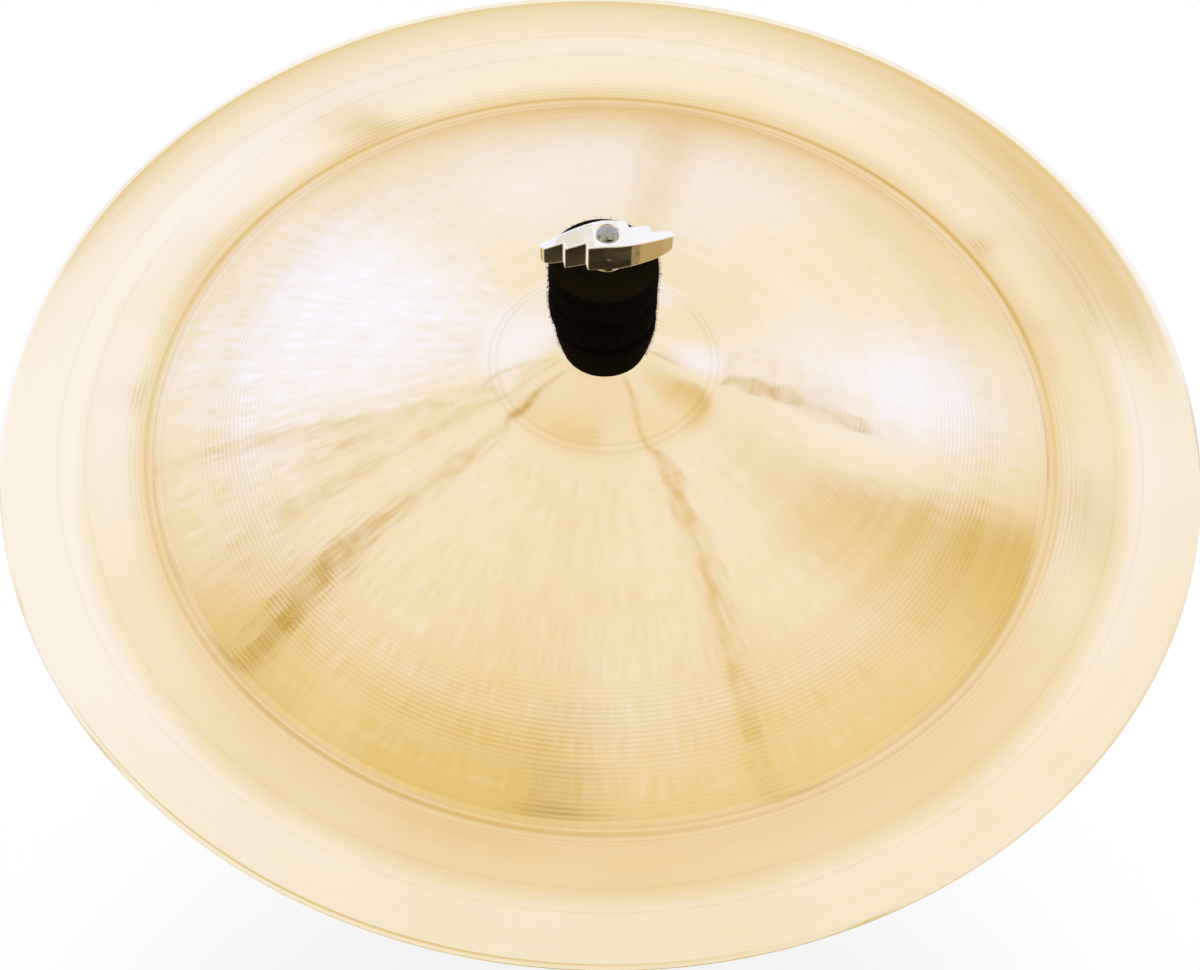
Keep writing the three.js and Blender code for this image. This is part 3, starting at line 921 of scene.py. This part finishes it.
one_way = stretched(place, (0.5, 0.4, 0.2), (1.0, 0.18, 0.4))
other_way = stretched(place, (-0.6, 0.9, 1.4), (0.3, 1.0, 0.2))
tangle = maths("MAXIMUM", noise(one_way, 2200.0, 3.0, distortion=0.6),
               noise(other_way, 2400.0, 3.0, distortion=0.6))
wool = blended_colour(remap(tangle, 0.45, 0.72), felt_deep, felt_thread)
matting = noise(place, 260.0, 3.0)
wool = blended_colour(remap(matting, 0.4, 0.7, 0.0, 0.5), wool, felt_matted)
level = add_node("ShaderNodeSeparateXYZ", {"Vector": place}).outputs["Z"]
# Painted light: the top face is made paler and warmer, as if lit from above, and the foot a little
# paler.
rubbed_and_lit = maths("MAXIMUM", remap(level, *lit_top, 0.0, 0.75),
               remap(level, *paler_foot, 0.35, 0.0))
rubbed_and_lit = product(rubbed_and_lit, remap(tangle, 0.35, 0.65, 0.5, 1.0))
surface(Base_Color=blended_colour(rubbed_and_lit, wool, felt_lit_tone), Roughness=1.0,
        Normal=bump(tangle, 0.25 * MM, 0.9), Specular_IOR_Level=0.02,
        Sheen_Weight=0.01, Sheen_Roughness=0.6, Sheen_Tint=(0.8, 0.7, 0.4, 1))

# %% [markdown]
# ## The threaded rod
#
# A thread is a groove that climbs one pitch for each turn. The rod is first turned
# plain, with very fine steps along it, and a geometry tree then sinks each point by a
# rule of its height and its angle. The thread runs out below the rounded tip and above
# the chamfered foot.

# %% Thread cutting in Geometry Nodes
rod_radius = 4 * MM
rod_length = 101.5 * MM
thread_pitch = 1.25 * MM
thread_depth = 0.72 * MM
foot_chamfer = 0.6 * MM
tip_dome = 2.6 * MM

thread, given, result = new_tree(
    "thread", "GeometryNodeTree",
    {"Geometry": "Geometry", "Pitch": thread_pitch, "Depth": thread_depth, "Start": 0.5 * MM,
     "End": 98.6 * MM, "Run Out": 1.2 * MM, "Material": "Material"},
    {"Geometry": "Geometry"},
)
here = add_node("GeometryNodeInputPosition", tree=thread).outputs[0]
spot = add_node("ShaderNodeSeparateXYZ", {"Vector": here}).outputs
turn_share = maths("DIVIDE", maths("ARCTAN2", spot["Y"], spot["X"]), 2 * math.pi)
climb = maths("SUBTRACT", maths("DIVIDE", spot["Z"], given["Pitch"]), turn_share)
across = maths("ABSOLUTE", maths("SUBTRACT", maths("FRACT", climb), 0.5))
groove = remap(across, 0.06, 0.44, 1.0, 0.0, "LINEAR")
begun = remap(spot["Z"], given["Start"], maths("ADD", given["Start"], given["Run Out"]))
run_out = maths("SUBTRACT", given["End"], given["Run Out"])
ended = remap(spot["Z"], run_out, given["End"], 1.0, 0.0)
cut = product(groove, given["Depth"], product(begun, ended))
sunk = scaled(heading_of(here), product(cut, -1.0))
end_tree(shifted(given["Geometry"], sunk), given, result)

# %% [markdown]
# The rod's outline has eight steps to each turn of the thread, so the groove comes
# out clean, and a dome at the tip.

# %% The rod
steps_a_turn = 8
dome_start = rod_length - tip_dome
shank_steps = int((dome_start - foot_chamfer) / thread_pitch * steps_a_turn)
shank = np.linspace(foot_chamfer, dome_start, shank_steps)
rod_outline = [(0, 0), (0.5 * rod_radius, 0), (rod_radius - foot_chamfer, 0)]
rod_outline += [(rod_radius, height) for height in shank]
rod_outline += [(rod_radius * math.cos(angle), dome_start + tip_dome * math.sin(angle))
                for angle in np.linspace(0, math.pi / 2, 10)[1:-1]]
rod_outline += [(0, rod_length)]
rod = turned("rod", rod_outline, 40, rod_steel)
run_tree(rod, thread, {"Material": rod_steel})
report(rod)
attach(rod, "rod_stack")
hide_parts("threaded_rod")

# %% [markdown]
# ## The cup and the sleeve
#
# Both are turned pieces with small rounded corners. The outline is written with sharp
# corners, as on a drawing, and a helper then cuts each corner back and rounds it. The
# felts need three more helpers, for fine steps, bulged sides and round corners.

# %% Helpers for outlines
def rounded(outline, reach, steps=3):
    """Replaces each corner of a closed outline by a short curve, cut back by a reach."""
    points = [Vector(point) for point in outline]
    soft = []
    for index, corner in enumerate(points):
        before, after = points[index - 1], points[(index + 1) % len(points)]
        back = min(reach, (before - corner).length * 0.45)
        on = min(reach, (after - corner).length * 0.45)
        start = corner + (before - corner).normalized() * back
        end = corner + (after - corner).normalized() * on
        for step in range(steps + 1):
            share = step / steps
            soft.append(tuple(start.lerp(corner, share).lerp(corner.lerp(end, share), share)))
    return soft


def finely_stepped(outline, longest):
    """Adds points to an outline so that no step is longer than a given length."""
    stepped = []
    for index, point in enumerate(outline):
        here, there = Vector(point), Vector(outline[(index + 1) % len(outline)])
        count = max(1, math.ceil((there - here).length / longest))
        stepped += [tuple(here.lerp(there, step / count)) for step in range(count)]
    return stepped


def bulged(start, end, bulge, steps):
    """Points from one place to another, along a line that bulges outwards."""
    (radius, height), (end_radius, end_height) = start, end
    return [(radius + (end_radius - radius) * share + 4 * bulge * share * (1 - share),
             height + (end_height - height) * share) for share in np.linspace(0, 1, steps)]


def quarter(radius, height, reach, start):
    """Points of a quarter of a circle round a centre, on from an angle in degrees."""
    return [(radius + reach * math.cos(angle), height + reach * math.sin(angle))
            for angle in np.radians(np.linspace(start, start + 90, 7))]


# %% The cup
rod_clearance = 4.3 * MM
flat_radius, cup_radius = 15.5 * MM, 20.6 * MM
washer_base, washer_top = 22.2 * MM, 23.7 * MM
brim_base, brim_top = 25.6 * MM, 27.1 * MM
washer_outline = [(rod_clearance, washer_base), (flat_radius, washer_base), (cup_radius, brim_base),
                  (cup_radius, brim_top), (flat_radius, washer_top), (rod_clearance, washer_top)]
washer = turned("cup_washer", rounded(washer_outline, 0.6 * MM, 4), 128, cup_steel)
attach(washer, "rod_stack")
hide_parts("seat_washer")

# %% The sleeve
sleeve_foot, flange_top, sleeve_top = 24.0 * MM, 25.4 * MM, 64.0 * MM
tube_radius, flange_radius = 5.3 * MM, 11 * MM
sleeve_outline = [(rod_clearance, sleeve_foot), (flange_radius, sleeve_foot),
                  (flange_radius, flange_top), (tube_radius, flange_top),
                  (tube_radius, sleeve_top), (rod_clearance, sleeve_top)]
sleeve = turned("rod_sleeve", rounded(sleeve_outline, 0.35 * MM, 3), 96, nylon)
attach(sleeve, "rod_stack")
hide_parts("sleeve")

# %% [markdown]
# ## The hexagon nut
#
# The CAD nut has the right shape, but its edges are perfectly sharp, and real edges
# catch the light. A copy of it is merged into one surface, its flat faces are joined
# up again, and a narrow bevel rounds the edges.

# %% The seat nut
def merged_copy(node, name):
    """A copy of a CAD node as one welded surface."""
    mesh = frame["nodes"][node].data.copy()
    shape = bmesh.new()
    shape.from_mesh(mesh)
    bmesh.ops.remove_doubles(shape, verts=shape.verts, dist=0.001 * MM)
    shape.to_mesh(mesh)
    shape.free()
    mesh.materials.clear()
    return new_object(name, mesh)


hex_nut = merged_copy("seat_nut", "hex_nut")
shape = bmesh.new()
shape.from_mesh(hex_nut.data)
bmesh.ops.dissolve_limit(shape, angle_limit=math.radians(1), verts=shape.verts, edges=shape.edges)
shape.to_mesh(hex_nut.data)
shape.free()
bevel = hex_nut.modifiers.new("bevel", "BEVEL")
bevel.width = 0.18 * MM
bevel.segments = 3
bevel.limit_method = "ANGLE"
bevel.angle_limit = math.radians(22)
settle(hex_nut)
hex_nut.data.materials.append(rod_steel)
report(hex_nut)
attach(hex_nut, "rod_stack")
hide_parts("seat_nut")

# %% [markdown]
# ## The wing nut
#
# It is a zinc die casting, so no edge on it is sharp: the molten metal doesn't fill
# corners, and the polishing before the chrome rounds them further. A voxel remesh of
# the CAD shape gives an even skin, and smoothing that skin rounds every edge alike.

# %% The wing nut
wings = merged_copy("wing_nut", "winged_nut")
skin = wings.modifiers.new("skin", "REMESH")
skin.mode = "VOXEL"
skin.voxel_size = 0.17 * MM
smoothing = wings.modifiers.new("smoothing", "SMOOTH")
smoothing.factor = 0.5
smoothing.iterations = 9
settle(wings)
for face in wings.data.polygons:
    face.use_smooth = True
wings.data.materials.append(chrome)
report(wings)
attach(wings, "wing_nut")
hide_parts("wing_nut")

# %% [markdown]
# ## The felts
#
# A felt is a ring cut from a pressed wool sheet. Its faces are fairly flat, its side
# bulges under load and its edges are soft. The tree below makes the surface uneven
# with a noise, leans the outer part to one side and curls it up at the back, and
# grows loose fibres from it. One fibre is a thin three sided tube along a bent line,
# and it is repeated at random points with a fixed seed. A few thicker tufts stand
# among the fibres.

# %% Felt in Geometry Nodes
lean_from, lean_full = 7 * MM, 14 * MM
curl_radius, curl_direction = 19.4 * MM, (-0.5, 0.87, 0.0)
facing_down = -0.6
felting, given, result = new_tree(
    "felting", "GeometryNodeTree",
    {"Geometry": "Geometry", "Unevenness": 0.35 * MM, "Lump Scale": 420.0,
     "Fibre Length": 1.1 * MM, "Fibre Width": 0.035 * MM, "Fibres A Square Metre": 1.1e6,
     "Tufts A Square Metre": 2500.0, "Tuft Width": 0.16 * MM, "Bare Radius": 8 * MM,
     "Lean": "Vector", "Curl": 0.0, "Curl From": 72.5 * MM, "Curl To": 86.4 * MM,
     "Seed": 3, "Material": "Material"},
    {"Geometry": "Geometry"},
)
here = add_node("GeometryNodeInputPosition", tree=felting).outputs[0]
facing = add_node("GeometryNodeInputNormal", tree=felting).outputs["Normal"]
lumps = noise(here, given["Lump Scale"], 4.0, 0.7)
pressed = scaled(facing, product(maths("SUBTRACT", lumps, 0.75), given["Unevenness"]))
plan_radius = axis_distance(here)
leaned = scaled(given["Lean"], remap(plan_radius, lean_from, lean_full))
out_share = maths("DIVIDE", plan_radius, curl_radius)
toward_curl = maths("MAXIMUM", product(out_share, dot(heading_of(here), curl_direction)), 0.0)
height_there = add_node("ShaderNodeSeparateXYZ", {"Vector": here}).outputs["Z"]
curl_share = remap(height_there, given["Curl From"], given["Curl To"])
curled = upright(product(toward_curl, out_share, curl_share, given["Curl"]))
shaped = vector_maths("ADD", pressed, vector_maths("ADD", leaned, curled))
body = shifted(given["Geometry"], shaped)


def over(value, limit):
    """Whether a value is over a limit."""
    return add_node("FunctionNodeCompare", {0: value, 1: limit},
                    data_type="FLOAT", operation="GREATER_THAN").outputs[0]


def random_value(inputs, kind):
    """A random value of a kind, with the tree's own seed."""
    return add_node("FunctionNodeRandomValue", {**inputs, 8: given["Seed"]}, data_type=kind)


def strewn_roots(density):
    """Random places on the felt, where fibres or tufts are rooted."""
    return add_node("GeometryNodeDistributePointsOnFaces", {
        "Mesh": body, "Selection": hairy, "Density": density, "Seed": given["Seed"]}).outputs


def bent_tube(sides, width):
    """A thin tube along the bent line."""
    ring = add_node("GeometryNodeCurvePrimitiveCircle", {"Resolution": sides, "Radius": width})
    return add_node("GeometryNodeCurveToMesh", {
        "Curve": strand, "Profile Curve": ring.outputs["Curve"], "Fill Caps": True}).outputs["Mesh"]


tilt = add_node("ShaderNodeSeparateXYZ", {"Vector": facing}).outputs["Z"]
hairy = add_node("FunctionNodeBooleanMath", {
    0: over(plan_radius, given["Bare Radius"]), 1: over(tilt, facing_down)},
    operation="AND").outputs[0]
bend = add_node("GeometryNodeCurveQuadraticBezier", {
    "Resolution": 4, "Start": (0, 0, -0.15), "Middle": (0.1, 0, 0.45), "End": (0.65, 0.15, 0.75)},
    felting)
strand = add_node("GeometryNodeTransform", {
    "Geometry": bend.outputs["Curve"],
    "Scale": scaled((1, 1, 1), given["Fibre Length"])}).outputs["Geometry"]

roots = strewn_roots(given["Fibres A Square Metre"])
spin = random_value({0: (-0.7, -0.7, -math.pi), 1: (0.7, 0.7, math.pi)}, "FLOAT_VECTOR").outputs[0]
leaning = add_node("FunctionNodeRotateRotation", {
    "Rotation": roots["Rotation"],
    "Rotate By": add_node("FunctionNodeEulerToRotation", {"Euler": spin}).outputs[0]},
    rotation_space="LOCAL")
fibres = add_node("GeometryNodeInstanceOnPoints", {
    "Points": roots["Points"], "Instance": bent_tube(3, given["Fibre Width"]),
    "Rotation": leaning.outputs[0],
    "Scale": random_value({2: 0.35, 3: 1.25}, "FLOAT").outputs[1]})
tuft_roots = strewn_roots(given["Tufts A Square Metre"])
tufts = add_node("GeometryNodeInstanceOnPoints", {
    "Points": tuft_roots["Points"], "Instance": bent_tube(5, given["Tuft Width"]),
    "Rotation": tuft_roots["Rotation"], "Scale": (1.3, 1.3, 1.3)})
whole = add_node("GeometryNodeJoinGeometry", tree=felting)
for part in (tufts.outputs["Instances"], fibres.outputs["Instances"], body):
    felting.links.new(part, whole.inputs[0])
end_tree(whole.outputs[0], given, result)


# %% Helpers that make one felt
felt_step = 0.55 * MM
felt_segments = 200
felt_bore = 5.6 * MM
seat_gap = 0.3 * MM


def make_felt(name, node, outline, seed, bare_radius, lean=(0, 0, 0), curl=0.0):
    """Turns an outline finely, roughens it, shifts its outer part and grows its fibres."""
    thing = turned(name, finely_stepped(outline, felt_step), felt_segments, felt)
    run_tree(thing, felting, {"Seed": seed, "Bare Radius": bare_radius, "Lean": lean,
                              "Curl": curl, "Material": felt})
    report(thing)
    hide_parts(node)
    return thing


def on_bell(inner, outer, offset, steps=6):
    """Points that lie along the bell's dome, from one radius to another."""
    return [(radius, float(dome_height(radius)) + offset)
            for radius in np.linspace(inner, outer, steps)]


def worn_bore(top, base, room=0.6 * MM):
    """Points down a felt's bore, wider half way, where the rocking plate bends the felt."""
    return bulged((felt_bore, top), (felt_bore, base), room, 9)[:-1]


# %% [markdown]
# The lowest felt lies in the cup and over the sleeve's flange, and the bell rests on
# it. Its upper face follows the bell. When the plate rocks, this face tips with it
# while the foot stays in the cup.

# %% The felt under the bell
felt_foot, over_flange, under_crown = 24.0 * MM, 25.7 * MM, 38.8 * MM
flange_room, flat_reach, lower_radius = 11.3 * MM, 15.2 * MM, 19.6 * MM
in_brim, shoulder_drop, lower_round = 26.93 * MM, 1.8 * MM, 0.7 * MM
under_bell = on_bell(felt_bore, 17.8 * MM, -wall_at_axis - seat_gap)
lower_outline = [(felt_bore, over_flange), (flange_room, over_flange), (flange_room, felt_foot),
                 (flat_reach, felt_foot), (lower_radius, in_brim),
                 (lower_radius, under_bell[-1][1] - shoulder_drop)]
lower_outline += under_bell[:0:-1] + worn_bore(under_bell[0][1], over_flange)
lower_felt = make_felt("felt_under_bell", "lower_felt", rounded(lower_outline, lower_round),
                       seed=11, bare_radius=18.6 * MM)
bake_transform(lower_felt)

# %% [markdown]
# The felt above the bell is pressed narrower where it stands on it. Its foot rocks
# with the plate, and its head stays level under the next felt.

# %% The felt on the bell
foot_radius, head_radius = 15.6 * MM, 18.7 * MM
crown_level, head_level = 39.3 * MM, 58.0 * MM
side_bulge = 0.6 * MM
corner_round, seam_round = 1.8 * MM, 2.4 * MM
foot_level = float(dome_height(foot_radius)) + seat_gap
side_top = head_level - seam_round
bell_outline = on_bell(felt_bore, foot_radius, seat_gap)
bell_outline += bulged((foot_radius, foot_level), (head_radius, side_top), side_bulge, 12)[1:]
bell_outline += quarter(head_radius - seam_round, side_top, seam_round, 0)[1:]
bell_outline += worn_bore(head_level, bell_outline[0][1])
bell_felt = make_felt("felt_on_bell", "bell_felt", bell_outline, seed=12,
                      bare_radius=16.6 * MM)
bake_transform(bell_felt)

# %% [markdown]
# Two plain round felts follow. The wing nut presses on the upper one. As it is
# screwed up, the upper felt rises with it and the one between them swells to follow.
# Both stand a little to the left of the axis, and the top one curls up at its back.

# %% The two upper felts
def round_outline(base, top, radius, low_round, high_round, bulge=0.35 * MM):
    """A round felt's outline, with soft edges and a slightly bulged side."""
    flank_base, flank_top = base + low_round, top - high_round
    low = quarter(radius - low_round, flank_base, low_round, -90)
    flank = bulged((radius, flank_base), (radius, flank_top), bulge, 9)[1:-1]
    high = quarter(radius - high_round, flank_top, high_round, 0)
    return [(felt_bore, base)] + low + flank + high + [(felt_bore, top)]


middle_base, middle_top, top_base, top_top = 58.3 * MM, 72.2 * MM, 72.5 * MM, 86.4 * MM
upper_radius = 19.4 * MM
pressed_round = 0.7 * MM
upper_lean = (-1.0 * MM, 0, 0)
back_curl = 1.3 * MM
middle_outline = round_outline(middle_base, middle_top, upper_radius, seam_round, pressed_round)
middle_felt = make_felt("felt_middle", "middle_felt", middle_outline, seed=13,
                        bare_radius=18.4 * MM, lean=upper_lean)
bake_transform(middle_felt)
top_outline = round_outline(top_base, top_top, upper_radius, pressed_round, corner_round)
top_felt = make_felt("felt_top", "top_felt", top_outline, seed=14,
                     bare_radius=8 * MM, lean=upper_lean, curl=back_curl)
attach(top_felt, "top_felt")

# %% [markdown]
# In the photograph neither the bell nor the crease mirrors the stack, so the pieces
# above the bell are kept out of reflected rays.

# %% Keep the stack out of the reflections
for piece in (bell_felt, middle_felt, top_felt, rod, sleeve, wings):
    piece.visible_glossy = False

# %% [markdown]
# ## Closing
#
# The view transform stays Standard, so a colour renders about as it is written.

# %% Finish
bpy.context.scene.view_settings.view_transform = "Standard"
